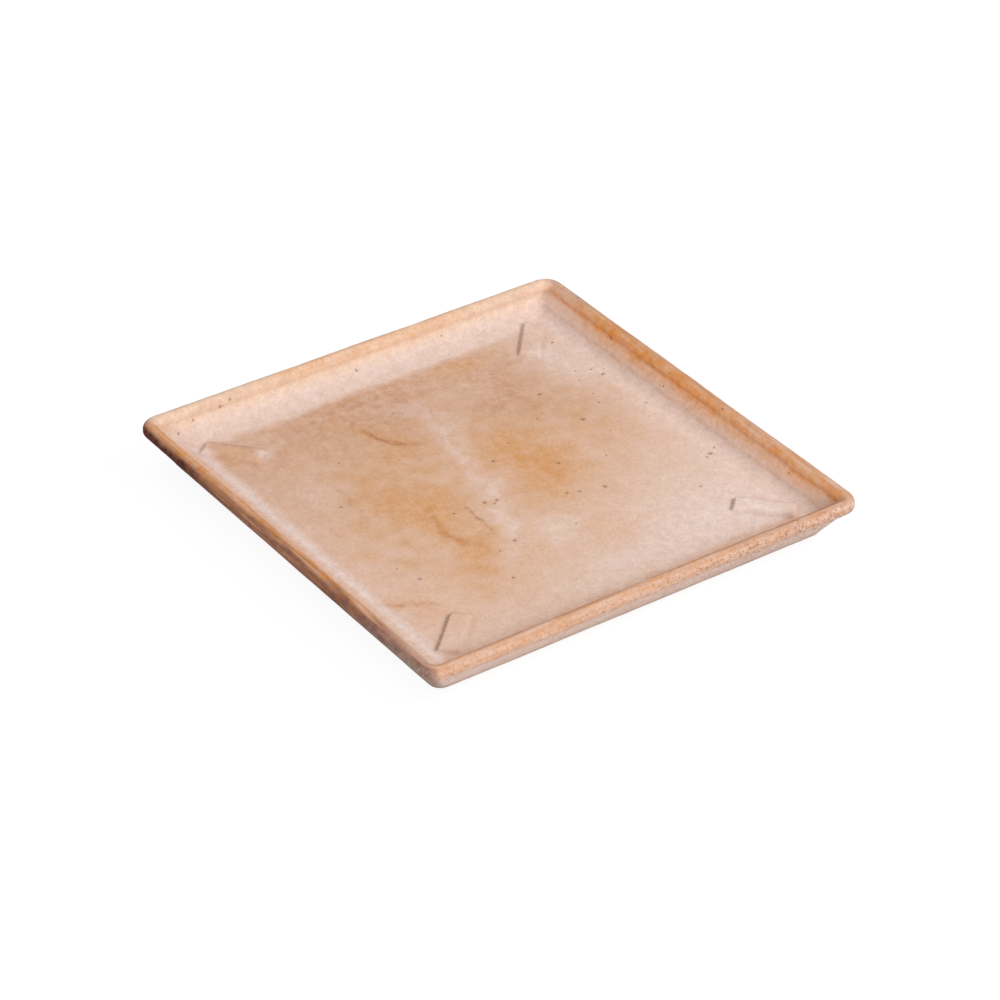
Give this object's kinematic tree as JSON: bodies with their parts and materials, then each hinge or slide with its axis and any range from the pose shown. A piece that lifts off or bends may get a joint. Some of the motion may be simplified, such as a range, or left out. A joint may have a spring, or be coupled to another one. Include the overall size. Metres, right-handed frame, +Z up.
{
  "type": "square plant pot saucer",
  "caption": "Shallow square terracotta saucer with splayed sides, a rolled lip and low corner ribs, set under a plant pot to catch its drained water.",
  "frame": {"origin": "centre of the flat base, on the surface that the saucer lies on", "axes": "+Z up out of the well, +X and +Y square to two neighbouring sides"},
  "size_m": [0.3, 0.3, 0.028],
  "materials": {
    "terracotta": "unglazed matte, pressed and fired red clay with pale salt bloom"
  },
  "bodies": {
    "root": {"saucer": "terracotta"}
  },
  "joints": []
}
